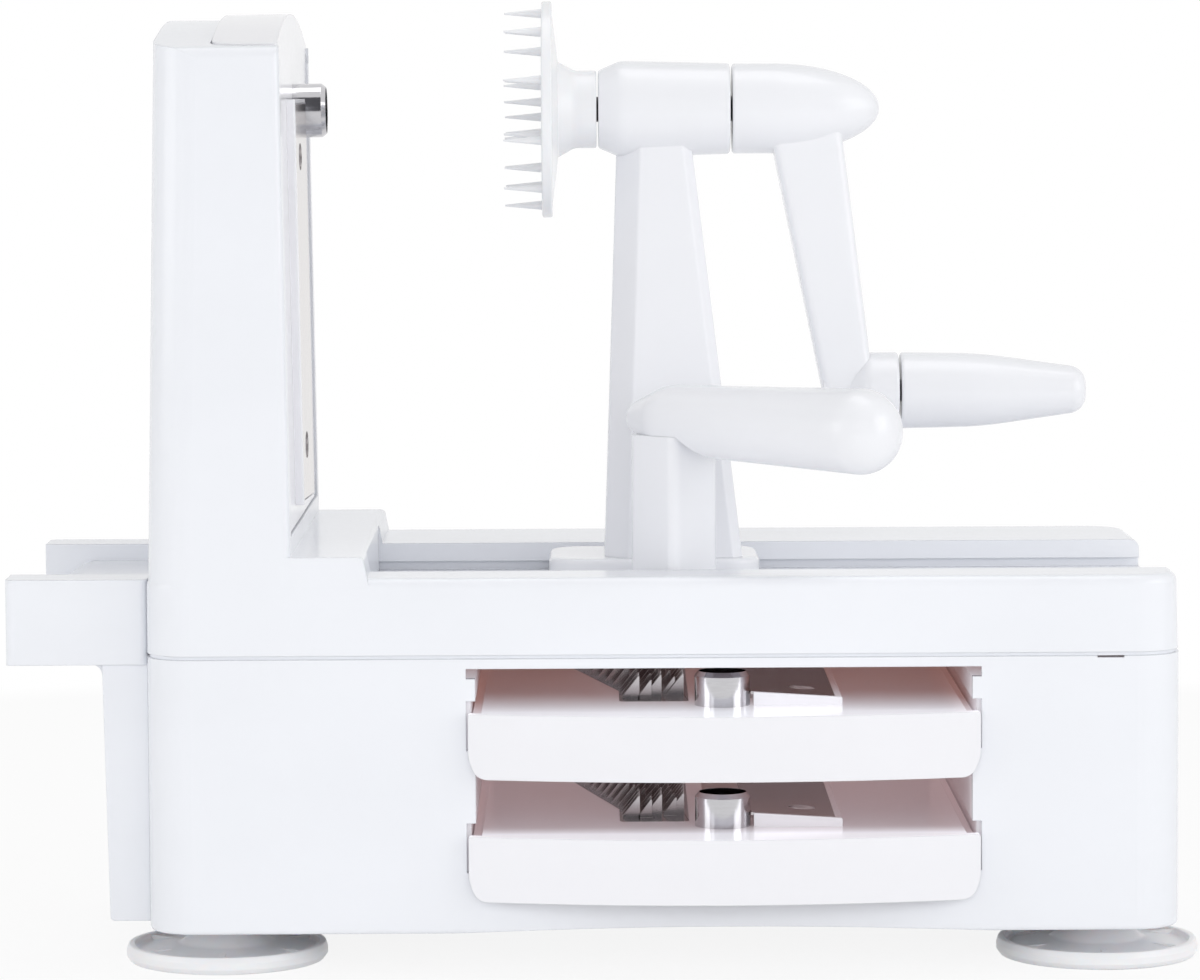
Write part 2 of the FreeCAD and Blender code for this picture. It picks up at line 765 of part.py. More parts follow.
def behind_bow(depth, x_half, z0, z1):
    """Everything behind the bowed front, between two heights."""
    far = 2 * cassette_length
    sag = lip_bow_radius - math.sqrt(lip_bow_radius ** 2 - x_half ** 2) + depth
    corners = [vec(-x_half, far, z0), vec(-x_half, sag, z0), vec(x_half, sag, z0), vec(x_half, far, z0)]
    bow = Part.Arc(corners[1], vec(0, depth, z0), corners[2]).toShape()
    sides = [Part.LineSegment(corners[a], corners[b]).toShape() for a, b in ((0, 1), (2, 3), (3, 0))]
    wire = Part.Wire([sides[0], bow, sides[1], sides[2]])
    return Part.Face(wire).extrude(vec(0, 0, z1 - z0))


def cassette_lip():
    half = lip_width / 2
    outer = behind_bow(0, half, -lip_height, 0)
    inner = behind_bow(lip_wall, half + past, -lip_height - past, past)
    shape = prism(lip_corners(-lip_height, 0, 0), on_xz(-past), vec(0, lip_bow + lip_wall + 2 * past, 0))
    return outer.cut(inner).common(shape)


def blade_top(x):
    """Height of the blade's upper face above the cassette's face, at x."""
    share = (blade_side - x) / (blade_side - blade_edge)
    low = ramp_height + (blade_rise - ramp_height) * (ramp_side - blade_side) / (ramp_side - blade_edge)
    return low + (blade_rise - low) * share


def cassette_frame(with_comb):
    half = plate_width / 2
    end = cassette_length
    start = lip_wall - root
    plate = rounded_block(-half, half, 1, end, -plate_wall, 0, plate_radius)
    skirt = rounded_block(-half, half, 1, end, -skirt_height, 0, plate_radius).cut(
        rounded_block(-half + skirt_wall, half - skirt_wall, 1 + skirt_wall, end - skirt_wall,
                      -skirt_height - past, past, plate_radius - skirt_wall))
    rails = []
    for side in (-1, 1):
        x0, x1 = sorted((side * (half - root), side * rail_edge))
        rails.append(rounded_block(x0, x1, rail_start, end - rail_end_inset, -skirt_height, -rail_drop,
                                   rail_radius))
    body = fused([plate, skirt] + rails).common(behind_bow(start, half + past, -skirt_height - past, past))
    boss = rod_z(-ring_depth, 0, ring_radius + ring_boss, 0, ring_station)
    body = fused([body, cassette_lip(), boss, blade_ramp()])
    tools = [rod_z(-ring_depth - past, blade_rise + past, ring_radius, 0, ring_station), throat()]
    if with_comb:
        tools += [comb_sheet(), comb_relief()]
    return without(body, tools)


def blade_ramp():
    """Ridge that the blade lies in, walled at its outer side and both ends."""
    end = blade_edge + blade_overhang
    top = [(ramp_side, -root, 0), (ramp_side, ramp_height, ramp_cap / 2), (end, blade_top(end), 0),
           (end, -root, 0)]
    ridge = prism(top, on_xz(ramp_start), vec(0, ramp_end - ramp_start, 0))
    edge = blade_edge - root
    bed = prism([(blade_side, blade_top(blade_side) - blade_wall, 0), (blade_side, blade_rise + past, 0),
                 (edge, blade_rise + past, 0), (edge, blade_top(edge) - blade_wall, 0)],
                on_xz(ramp_start + ramp_cap), vec(0, ramp_end - ramp_start - 2 * ramp_cap, 0))
    return ridge.cut(bed)


def throat():
    """Slot beside the cutting edge that the sliced strands pass through."""
    right = blade_edge + blade_overhang
    left = right - throat_width
    y0 = ring_station + ring_radius + throat_start
    y1 = ramp_end - ramp_cap
    return prism([(left, y0, throat_radius), (right, y0, 0), (right, y1, 0), (left, y1, throat_radius)],
                 on_xy(-skirt_height - past), vec(0, 0, skirt_height + past + blade_rise))


def flat_blade():
    """Steel blade lying in its ridge, ground to an edge over the throat."""
    start = ramp_start + ramp_cap + blade_end_gap
    end = ramp_end - ramp_cap - blade_end_gap
    bevel = blade_edge + blade_bevel
    corners = [(blade_side, blade_top(blade_side) - blade_wall, 0),
               (blade_edge, blade_top(blade_edge) - blade_wall, 0),
               (bevel, blade_top(bevel), 0), (blade_side, blade_top(blade_side), 0)]
    blade = prism(corners, on_xz(start), vec(0, end - start, 0))
    holes = [rod_z(-past, blade_rise + past, blade_hole_radius, blade_hole_side, y)
             for y in (start + blade_hole_inset, end - blade_hole_inset)]
    return without(blade, holes + [rod_z(-past, ring_rise, ring_radius + ring_gap, 0, ring_station)])


def comb_edges(y):
    """Left and right edge of the comb, at y."""
    share = (y - comb_front) / (comb_back - comb_front)
    flare = max(0.0, (y - comb_bend) / (comb_back - comb_bend))
    return (comb_outer_front + flare * (comb_outer_back - comb_outer_front),
            comb_inner_front + share * (comb_inner_back - comb_inner_front))


def row_place(row, y):
    """Middle of a row of teeth, at y."""
    left, right = comb_edges(y)
    return left + row_left_margin if row == 0 else right - row_right_margin


def comb_sheet():
    corners = [(comb_outer_front, comb_front, comb_radius), (comb_inner_front, comb_front, comb_radius),
               (comb_inner_back, comb_back, comb_radius), (comb_outer_back, comb_back, comb_radius),
               (comb_outer_front, comb_bend, 0)]
    return prism(corners, on_xy(-comb_wall), vec(0, 0, comb_wall))


def comb_relief():
    """Slot under each row, so that the strands get past the teeth."""
    cuts = []
    half = relief_width / 2
    stations = (comb_front + relief_inset, comb_bend, comb_back - relief_inset)
    for row in (0, 1):
        left = [(row_place(row, y) - half, y, 0) for y in stations]
        right = [(row_place(row, y) + half, y, 0) for y in stations]
        cuts.append(prism(left + right[::-1], on_xy(-plate_wall - past), vec(0, 0, plate_wall + past)))
    return Part.makeCompound(cuts)


def comb(pitch):
    """Steel comb: a flush sheet with two rows of teeth bent up out of it."""
    teeth = []
    windows = []
    half = tooth_width / 2
    last = comb_back - row_inset
    for row in (0, 1):
        y = comb_front + row_inset + row * pitch / 2
        while y < last:
            x = row_place(row, y)
            corners = [(x - half, -comb_wall, 0), (x + half, -comb_wall, 0), (x + half, tooth_height, 0),
                       (x + half - tooth_tip, tooth_height, 0), (x - half, tooth_root, 0)]
            teeth.append(prism(corners, on_xz(y), vec(0, comb_wall, 0)))
            windows.append(block(x - half * slot_share, x + half * slot_share, y + comb_wall,
                                 y + comb_wall + tooth_slot, -comb_wall - past, past))
            y += pitch
    return fused([without(comb_sheet(), windows)] + teeth)


def coring_ring():
    inner = ring_radius - ring_wall
    corners = [(inner, -ring_depth, 0), (ring_radius, -ring_depth, 0),
               (ring_radius, ring_rise - ring_bevel, 0), (inner + ring_edge, ring_rise, 0),
               (inner, ring_rise, 0)]
    return turned_upright(corners, 0, ring_station)


def stored(shape, face):
    """Cassette piece in a drawer place under the deck."""
    shape = shape.copy()
    shape.translate(vec(drawer_middle, drawer_crest, face))
    return shape


def installed(shape):
    """Cassette piece in the tower: lip on top, face towards the spiked disc, ring on the crank's axis."""
    s, c = math.sin(tower_tilt), math.cos(tower_tilt)
    turn = FreeCAD.Matrix(0, s, c, cassette_x - ring_station * s, -1, 0, 0, 0,
                          0, -c, s, crank_height + ring_station * c, 0, 0, 0, 1)
    shape = shape.copy()
    shape.Placement = FreeCAD.Placement(turn).multiply(shape.Placement)
    return shape


# ---------------------------------------------------------------- outlet chute

def outlet_chute():
    """Trough that carries the strands clear, on a leg that hooks onto the base's left wall."""
    half = chute_width / 2
    right = chute_right
    bottom = chute_top - chute_flange
    leg_left = right - leg_length
    leg_half = half - leg_inset
    flange = rounded_block(left_end, right, -half, half, bottom, chute_top, chute_corner)
    leg = prism([(leg_left, bottom + root, 0), (leg_left + leg_taper, leg_bottom, leg_corner),
                 (right, leg_bottom, 0), (right, bottom + root, 0)],
                on_xz(-leg_half), vec(0, 2 * leg_half, 0))
    inner = leg_left - chute_fillet
    gusset = block(inner, leg_left + leg_taper, -leg_half + leg_inset, leg_half - leg_inset,
                   bottom - chute_fillet, bottom + root)
    corner = vec(inner, -half, bottom - chute_fillet)
    gusset = gusset.cut(Part.makeCylinder(chute_fillet, chute_width, corner, vec(0, 1, 0)))
    body = fused([flange, leg, gusset])
    trough_half = half - chute_rim
    free = left_end - past
    trough = prism([(free, chute_top + past, 0), (right + past, chute_top + past, 0),
                    (right + past, chute_floor, 0),
                    (left_end + chute_fall_length, chute_floor, chute_fall_radius),
                    (free, chute_floor - chute_fall, 0)],
                   on_xz(-trough_half), vec(0, 2 * trough_half, 0))
    under_half = half - chute_wall
    under = block(left_end + chute_wall, leg_left - chute_wall, -under_half, under_half, bottom - past,
                  chute_floor - chute_wall - chute_fall / 2)
    return without(body, [trough, under, fused(hook_slots())] + leg_pockets())


def hook_slots():
    """T-shaped slots in the leg, open downwards, for the base's hooks."""
    right = chute_right
    slots = []
    low, high = leg_bottom - past, hook_top + chute_gap
    mouth = hook_neck / 2 + chute_gap
    head = hook_head / 2 + chute_gap
    for y in (-hook_spread, hook_spread):
        slots.append(block(right - hook_wall - chute_gap, right + past, y - mouth, y + mouth, low, high))
        slots.append(block(right - 2 * hook_wall - 1.5 * chute_gap, right - hook_wall + chute_gap / 2,
                           y - head, y + head, low, high))
    return slots


def leg_pockets():
    """Lightening pockets in the leg's hidden face, between and outside the hooks."""
    inner = hook_spread - hook_head / 2 - pocket_inset
    outer = hook_spread + hook_head / 2 + pocket_inset
    edge = chute_width / 2 - leg_inset - pocket_inset
    left = chute_right - leg_length + leg_taper + chute_wall
    bottom = leg_bottom + pocket_inset
    top = chute_top - chute_flange - pocket_inset
    return [block(left, chute_right + past, y0, y1, bottom, top)
            for y0, y1 in ((-edge, -outer), (-inner, inner), (outer, edge))]


# ---------------------------------------------------------------- carriage

def carriage_slide():
    """Plate held by the channel's grooves, with the raised pad that carries the crank post."""
    gap = slide_clearance
    under = channel_floor + carriage_float
    tongue = rounded_block(carriage_left, carriage_right, channel_low - undercut + gap,
                           channel_high + undercut - gap, under, under + carriage_plate - 2 * carriage_float,
                           carriage_corner)
    half = pad_depth / 2
    pad = rounded_block(carriage_left, carriage_right, -half, half, under, pad_top, pad_radius)
    top_edges = [e for e in pad.Edges if e.BoundBox.ZMin > pad_top - pick]
    pad = pad.makeFillet(pad_edge_radius, top_edges)
    body = fused([tongue, pad])
    low = channel_floor - past
    bore = screw_radius + screw_play
    seat = screw_head_radius + head_play
    holes = []
    for x, y in post_screw_places():
        holes.append(rod_z(low, pad_top + past, bore, x, y))
        holes.append(rod_z(low, channel_floor + screw_head + head_recess, seat, x, y))
    holes.append(rod_z(low, channel_floor + carriage_plate + past, bore, handle_x, handle_y))
    holes.append(rod_z(low, channel_floor + flat_head + flat_recess, seat, handle_x, handle_y))
    return without(body, holes)


def post_screw_places():
    left = carriage_left + post_inset
    return [(left + x, y) for x in (post_screw_near, post_screw_far)
            for y in (-post_screw_row, post_screw_row)]


def crank_post():
    """Tapering post with the barrel that carries the shaft, one moulding."""
    left = carriage_left + post_inset
    bottom = post_section(left, left + post_bottom_length, post_bottom_depth / 2, pad_top)
    top_left = left + post_lean
    top = post_section(top_left, top_left + post_top_length, post_top_depth / 2, crank_height)
    post = spanned(bottom, top)
    barrel = turned([(barrel_left, 0, 0), (barrel_left, barrel_nose_radius, barrel_edge_radius),
                     (barrel_left + barrel_nose_length, barrel_radius, barrel_nose_round),
                     (barrel_right, barrel_end_radius, barrel_edge_radius), (barrel_right, 0, 0)],
                    crank_height)
    axis = crank_height
    tools = [rod_x(barrel_left - past, barrel_left + bush_length, bush_radius, 0, axis),
             rod_x(barrel_right - bush_length, barrel_right + past, bush_radius, 0, axis),
             rod_x(barrel_left, barrel_right, shaft_radius + shaft_room, 0, axis),
             rod_x(barrel_left - past, barrel_left + bush_flange, bush_flange_radius, 0, axis),
             rod_x(barrel_right - bush_flange, barrel_right + past, bush_flange_radius, 0, axis)]
    screw_top = channel_floor + head_recess + screw_head + post_screw_length + screw_point_room
    tools += [rod_z(pad_top - past, screw_top, screw_radius, x, y) for x, y in post_screw_places()]
    return without(fused([post, barrel]), tools)


def post_section(x0, x1, half, z):
    left, right, r = post_bevel, post_right_bevel, post_corner
    return outline([(x0 + left, -half, r), (x1 - right, -half, r), (x1, -half + right, r),
                    (x1, half - right, r), (x1 - right, half, r), (x0 + left, half, r),
                    (x0, half - left, r), (x0, -half + left, r)], on_xy(z))


def shaft_bush(side):
    """Flanged plain bearing; side -1 at the disc's end of the barrel, +1 at the crank's."""
    if side < 0:
        x0, inward = barrel_left, 1
    else:
        x0, inward = barrel_right, -1
    inner = shaft_radius + running_clearance
    flange = x0 + inward * bush_flange
    end = x0 + inward * bush_length
    corners = [(x0, inner, 0), (x0, bush_flange_radius, 0), (flange, bush_flange_radius, 0),
               (flange, bush_radius, 0), (end, bush_radius, 0), (end, inner, 0)]
    return turned(corners, crank_height)


def screw_up(x, y, z_head, head_wall, length):
    """Screw driven upwards, the outside of its head at z_head."""
    head = rod_z(z_head, z_head + head_wall, screw_head_radius, x, y)
    return fused([head, rod_z(z_head + head_wall, z_head + head_wall + length, screw_radius, x, y)])


def housing_screws():
    z = seam_height - housing_screw_grip - screw_head
    return Part.makeCompound([screw_up(x, y, z, screw_head, housing_screw_length)
                              for x, y in housing_screw_places()])


def post_screws():
    z = channel_floor + head_recess
    return Part.makeCompound([screw_up(x, y, z, screw_head, post_screw_length)
                              for x, y in post_screw_places()])


# ---------------------------------------------------------------- side handle

def handle_post():
    """Square post with a round peg on top, turned with the bar; its corner faces the user."""
    half = handle_post_side / 2
    bottom = channel_floor + carriage_plate - carriage_float
    post = rounded_block(-half, half, -half, half, bottom, handle_post_top, handle_post_edge)
    peg = rod_z(handle_post_top - root, handle_post_top + handle_peg_height, handle_peg_radius)
    screw_top = channel_floor + flat_recess + flat_head + handle_screw_length + screw_point_room
    post = fused([post, peg]).cut(rod_z(bottom - past, screw_top, screw_radius))
    return swung(post)


def handle_bar():
    """Round tapering bar with a ball end, notched over the post."""
    tail = -handle_tail
    ball = handle_ball_radius
    neck = handle_neck_radius
    bar = turned([(tail, 0, 0), (tail, handle_tail_radius, handle_tail_round),
                  (handle_neck_place, neck, handle_neck_round), (handle_length, ball, 0),
                  (handle_length + ball, ball, handle_ball_round), (handle_length + ball, 0, 0)],
                 handle_height)
    side = handle_post_side
    face = side / 2 + handle_notch_gap
    low = handle_height - 2 * ball
    end = face + handle_notch_slope
    slope = prism([(tail - past, low, 0), (end, low, 0), (end, handle_height - neck - root, 0),
                   (face, handle_post_top, 0), (tail - past, handle_post_top, 0)],
                  on_xz(-side), vec(0, 2 * side, 0))
    peg_hole = rod_z(handle_post_top - past, handle_post_top + handle_peg_height, handle_peg_radius)
    return swung(without(bar, [slope, peg_hole]))


def swung(shape):
    shape.rotate(vec(0, 0, 0), vec(0, 0, 1), -handle_angle)
    shape.translate(vec(handle_x, handle_y, 0))
    return shape


def handle_screw():
    return screw_up(handle_x, handle_y, channel_floor + flat_recess, flat_head, handle_screw_length)


# ---------------------------------------------------------------- crank, shaft and disc

def flatted(x0, x1):
    """Round bar on the crank's axis with two flats, which drives whatever seats on it."""
    flat = shaft_radius * shaft_flat
    bar = rod_x(x0, x1, shaft_radius, 0, crank_height)
    return bar.common(block(x0, x1, -flat, flat, crank_height - shaft_radius, crank_height + shaft_radius))


def crank_shaft():
    journal_left = barrel_left - disc_gap / 2
    journal_right = barrel_right + hub_gap / 2
    journal = rod_x(journal_left, journal_right, shaft_radius, 0, crank_height)
    return fused([journal, flatted(disc_flare, journal_left + root),
                  flatted(journal_right - root, hub_left + shaft_seat)])


def spiked_disc():
    hub = disc_back + disc_hub_length
    cone = disc_flare - disc_cone
    edge = disc_edge_radius
    corners = [(disc_face, 0, 0), (disc_face, disc_radius, edge), (cone, disc_radius, edge),
               (cone, disc_radius - disc_rim, 0), (disc_flare, disc_flare_radius, edge),
               (disc_back, disc_hub_radius, disc_flare_round), (hub, disc_hub_radius, edge), (hub, 0, 0)]
    spikes = []
    for count, radius, first in spike_rings:
        for i in range(count):
            angle = math.radians(first + 360.0 * i / count)
            y = radius * math.sin(angle)
            z = crank_height + radius * math.cos(angle)
            spikes.append(Part.makeCone(spike_radius, spike_tip_radius, spike_length + spike_root,
                                        vec(disc_face + spike_root, y, z), vec(-1, 0, 0)))
    return fused([turned(corners, crank_height)] + spikes).cut(flatted(disc_flare, hub + past))


def crank_arm():
    """Bullet-shaped hub, leaning flat arm and grip boss, one moulding."""
    axis = crank_height
    nose_start = hub_left + hub_straight
    nose = hub_length - hub_straight
    straight = rod_x(hub_left, nose_start, hub_radius, 0, axis)
    edges = [e for e in straight.Edges if e.BoundBox.XMax < hub_left + pick]
    straight = straight.makeFillet(hub_edge_radius, edges)
    centre = vec(nose_start, 0, axis)
    ellipse = Part.Ellipse(centre, nose, hub_radius)
    ellipse.Axis = vec(0, -1, 0)
    quarter = Part.ArcOfEllipse(ellipse, 0, math.pi / 2).toShape()
    ends = [vertex.Point for vertex in quarter.Vertexes]
    profile = Part.Wire([quarter, Part.LineSegment(ends[1], centre).toShape(),
                         Part.LineSegment(centre, ends[0]).toShape()])
    bullet = Part.Face(profile).revolve(centre, vec(1, 0, 0), 360)
    top = arm_section(arm_top_start, arm_top_width, arm_depth, axis)
    bottom = arm_section(arm_top_start + arm_lean, arm_bottom_width, arm_end_depth, grip_height)
    arm = spanned(bottom, top)
    foot_x = hub_left + arm_top_start + arm_lean
    end = arm_end_depth / 2
    foot = rod_x(foot_x, foot_x + arm_bottom_width, end, 0, grip_height)
    boss_start = foot_x + arm_bottom_width / 2
    boss = turned([(boss_start, 0, 0), (boss_start, end, 0),
                   (boss_start + boss_flare, boss_radius, boss_round),
                   (boss_face, boss_radius, hub_edge_radius), (boss_face, 0, 0)], grip_height)
    body = fused([straight, bullet, arm, foot, boss])
    return without(body, [flatted(hub_left, hub_left + shaft_seat),
                          rod_x(boss_face - axle_depth, boss_face + past, axle_radius, 0, grip_height)])


def arm_section(start, width, depth, z):
    x0 = hub_left + start
    return outline(plan_corners(x0, x0 + width, -depth / 2, depth / 2, arm_corner, arm_corner), on_xy(z))


def grip_axle():
    return fused([rod_x(boss_face - axle_depth, axle_shoulder, axle_radius, 0, grip_height),
                  rod_x(axle_shoulder, axle_shoulder + axle_head, axle_head_radius, 0, grip_height)])


def grip():
    """Turning grip: crowned bullet on the axle, its closed nose outwards."""
    tip = grip_left + grip_length
    body = turned([(grip_left, 0, 0), (grip_left, grip_radius, hub_edge_radius),
                   (grip_left + grip_crown_start, grip_radius - grip_crown_drop, grip_crown_round),
                   (tip, grip_tip_radius, grip_tip_round), (tip, 0, 0)], grip_height)
    bore = rod_x(grip_left - past, axle_shoulder, axle_radius + running_clearance, 0, grip_height)
    pocket = rod_x(axle_shoulder - axle_play, axle_shoulder + axle_head + axle_play,
                   axle_head_radius + axle_play, 0, grip_height)
    return without(body, [bore, pocket])


# ---------------------------------------------------------------- all pieces

def pieces():
    parts = {
        "lower_base": lower_base(),
        "upper_housing": upper_housing(),
        "left_drawer_guide": drawer_guide(-1),
        "right_drawer_guide": drawer_guide(1),
        "housing_screws": housing_screws(),
        "outlet_chute": outlet_chute(),
        "carriage_slide": carriage_slide(),
        "crank_post": crank_post(),
        "post_screws": post_screws(),
        "disc_side_bush": shaft_bush(-1),
        "crank_side_bush": shaft_bush(1),
        "handle_post": handle_post(),
        "handle_bar": handle_bar(),
        "handle_screw": handle_screw(),
        "crank_shaft": crank_shaft(),
        "spiked_disc": spiked_disc(),
        "crank_arm": crank_arm(),
        "grip_axle": grip_axle(),
        "grip": grip(),
    }
    for name, (x, y) in zip(("front_left_foot", "rear_left_foot", "front_right_foot", "rear_right_foot"),
                            foot_places()):
        parts[name] = suction_foot(x, y)
    parts["tower_cassette_frame"] = installed(cassette_frame(False))
    parts["tower_coring_ring"] = installed(coring_ring())
    parts["tower_flat_blade"] = installed(flat_blade())
    comb_frame = cassette_frame(True)
    for name, face, pitch in (("upper", upper_face, coarse_pitch), ("lower", lower_face, fine_pitch)):
        parts[name + "_cassette_frame"] = stored(comb_frame, face)
        parts[name + "_coring_ring"] = stored(coring_ring(), face)
        parts[name + "_flat_blade"] = stored(flat_blade(), face)
        parts[name + "_comb_blade"] = stored(comb(pitch), face)
    return parts


def main():
    os.makedirs("parts", exist_ok=True)
    for name, shape in pieces().items():
        shape = shape.copy()
        shape.translate(vec(0, plane_y, 0))
        shape.exportStep("parts/" + name + ".step")
        box = shape.BoundBox
        print("%-22s solids %d valid %s volume %.0f  x %.1f %.1f  y %.1f %.1f  z %.1f %.1f" % (
            name, len(shape.Solids), shape.isValid(), shape.Volume, box.XMin, box.XMax, box.YMin, box.YMax,
            box.ZMin, box.ZMax))


main()
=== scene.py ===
import json
import math
import bpy
from mathutils import Euler, Matrix, Vector


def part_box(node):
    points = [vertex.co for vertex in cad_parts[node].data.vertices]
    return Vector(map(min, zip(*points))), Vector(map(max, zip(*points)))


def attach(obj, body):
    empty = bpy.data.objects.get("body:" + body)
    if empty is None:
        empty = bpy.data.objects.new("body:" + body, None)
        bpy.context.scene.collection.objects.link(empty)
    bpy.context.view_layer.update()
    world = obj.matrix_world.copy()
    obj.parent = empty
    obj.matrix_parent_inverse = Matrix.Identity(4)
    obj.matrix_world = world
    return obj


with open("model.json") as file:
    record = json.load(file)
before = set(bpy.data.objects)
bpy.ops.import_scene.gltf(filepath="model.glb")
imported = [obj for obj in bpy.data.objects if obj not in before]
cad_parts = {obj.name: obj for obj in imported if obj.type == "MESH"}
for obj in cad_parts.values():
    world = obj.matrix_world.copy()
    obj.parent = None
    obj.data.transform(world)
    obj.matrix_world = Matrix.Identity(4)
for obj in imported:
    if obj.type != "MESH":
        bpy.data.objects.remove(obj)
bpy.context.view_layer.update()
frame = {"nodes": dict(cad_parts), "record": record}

print("frame loaded:", len(frame["nodes"]), "nodes")


class Sock:
    # wraps an output socket, so that sums on it add their Math nodes
    def __init__(self, material, socket):
        self.material = material
        self.socket = socket

    def math(self, operation, *values):
        return self.material.node("ShaderNodeMath", {"operation": operation}, *values)[0]

    def __add__(self, other):
        return self.math("ADD", self, other)

    def __radd__(self, other):
        return self.math("ADD", other, self)

    def __sub__(self, other):
        return self.math("SUBTRACT", self, other)

    def __rsub__(self, other):
        return self.math("SUBTRACT", other, self)

    def __mul__(self, other):
        return self.math("MULTIPLY", self, other)

    def __rmul__(self, other):
        return self.math("MULTIPLY", other, self)

    def __pow__(self, other):
        return self.math("POWER", self, other)

    def __rpow__(self, other):
        return self.math("POWER", other, self)

    def between(self, low, high):
        # 0 at low, 1 at high, held between them
        held = {"clamp": True}
        return self.material.node("ShaderNodeMapRange", held, self, low, high, 0.0, 1.0)[0]

    def larger(self, other):
        return self.math("MAXIMUM", self, other)


edgeSamples = 4  # rays that round off an edge in the shading


class Material:
    def __init__(self, name, **fixed):
        self.material = bpy.data.materials.new(name)
        self.material.use_nodes = True
        self.tree = self.material.node_tree
        self.shader = self.tree.nodes["Principled BSDF"]
        for key, value in fixed.items():
            self.set(key, value)

    def node(self, kind, settings, *values, **named):
        # any node: its settings first, then the values or links of its sockets
        made = self.tree.nodes.new(kind)
        for key, value in settings.items():
            setattr(made, key, value)
        for index, value in enumerate(values):
            self.feed(made.inputs[index], value)
        for key, value in named.items():
            self.feed(made.inputs[key], value)
        return [Sock(self, output) for output in made.outputs]

    def source(self, kind):
        # a node without inputs: its outputs by their names
        return {made.socket.name: made for made in self.node(kind, {})}

    def feed(self, socket, value):
        # None leaves a socket as it is
        if isinstance(value, Sock):
            self.tree.links.new(value.socket, socket)
        elif value is not None:
            socket.default_value = (*value, 1.0) if socket.type == "RGBA" else value

    def set(self, key, value):
        self.feed(self.shader.inputs[key], value)

    def place(self):
        # metres in the object's own frame
        return self.source("ShaderNodeTexCoord")["Object"]

    def stretched(self, scale):
        times = {"operation": "MULTIPLY"}
        return self.node("ShaderNodeVectorMath", times, self.place(), scale)[0]

    def axes(self, vector):
        return self.node("ShaderNodeSeparateXYZ", {}, vector)

    def noise(self, vector, scale, detail, roughness=0.5):
        return self.node("ShaderNodeTexNoise", {}, Vector=vector, Scale=scale, Detail=detail,
                         Roughness=roughness)[0]

    def mix(self, factor, first, second):
        # between the factor and the two colours are five sockets for numbers and vectors
        skipped = [None] * 5
        return self.node("ShaderNodeMix", {"data_type": "RGBA"}, factor, *skipped, first, second)[2]

    def softEdge(self, radius):
        return self.node("ShaderNodeBevel", {"samples": edgeSamples}, Radius=radius)[0]

    def bump(self, height, strength, distance, normal):
        return self.node("ShaderNodeBump", {}, Strength=strength, Distance=distance,
                         Height=height, Normal=normal)[0]


def srgb(red, green, blue):
    # screen values 0-255 to linear light, by the sRGB curve
    return tuple(v / 255 / 12.92 if v <= 10 else ((v / 255 + 0.055) / 1.055) ** 2.4
                 for v in (red, green, blue))


def darker(colour, share):
    return tuple(v * (1.0 - share) for v in colour)


def addObject(name, data):
    made = bpy.data.objects.new(name, data)
    bpy.context.scene.collection.objects.link(made)
    return made


def addMesh(name, points, faces, material):
    mesh = bpy.data.meshes.new(name)
    mesh.from_pydata(points, [], faces)
    mesh.validate()
    mesh.materials.append(material)
    return addObject(name, mesh)


# drawer bay: painted light, a faint warm emission on the plastic inside the bay, bright near the
# mouth and dim deep inside, in place of the light that comes in through the mouth and the white
# walls
# pairs are where a mask starts and where it is full, in metres unless noted

bayLow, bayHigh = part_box("lower_base")
bayLightPaint = {
    "skin": (0.004, 0.008),  # in from the left, right and back wall and from the mouth
    "floor": (0.002, 0.004),  # up from the underside
    "ceiling": 0.098,
    "ceilingFade": 0.004,
    "mouth": (0.0, 0.002),
    "lip": (-0.016, -0.012),  # cassette lips stand out in front of the mouth
    "level": (0.3, 0.7),  # how far a face looks up or down, as a share
    "drawers": (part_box("lower_flat_blade")[1][2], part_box("upper_flat_blade")[1][2]),
    "nearLower": 0.013,  # how far the painted light from the mouth reaches on the lower cassette
    "nearUpper": 0.048,
    "nearFall": 1.6,
    # back and backGain: the painted light grows brighter again towards the back of the lower
    # cassette
    "back": (0.02, 0.1),
    "backGain": 1.5,
    # emitted colours of the painted light: near the mouth, painted shade deep in the lower and the
    # upper cassette, and on faces that look down
    "near": (0.41, 0.42, 0.45),
    "deepLower": (0.080, 0.058, 0.060),
    "deepUpper": (0.062, 0.016, 0.008),
    "under": (0.085, 0.045, 0.036),
    "sides": 0.35,  # share of the painted light that upright faces get
    "none": (0.0, 0.0, 0.0),
}


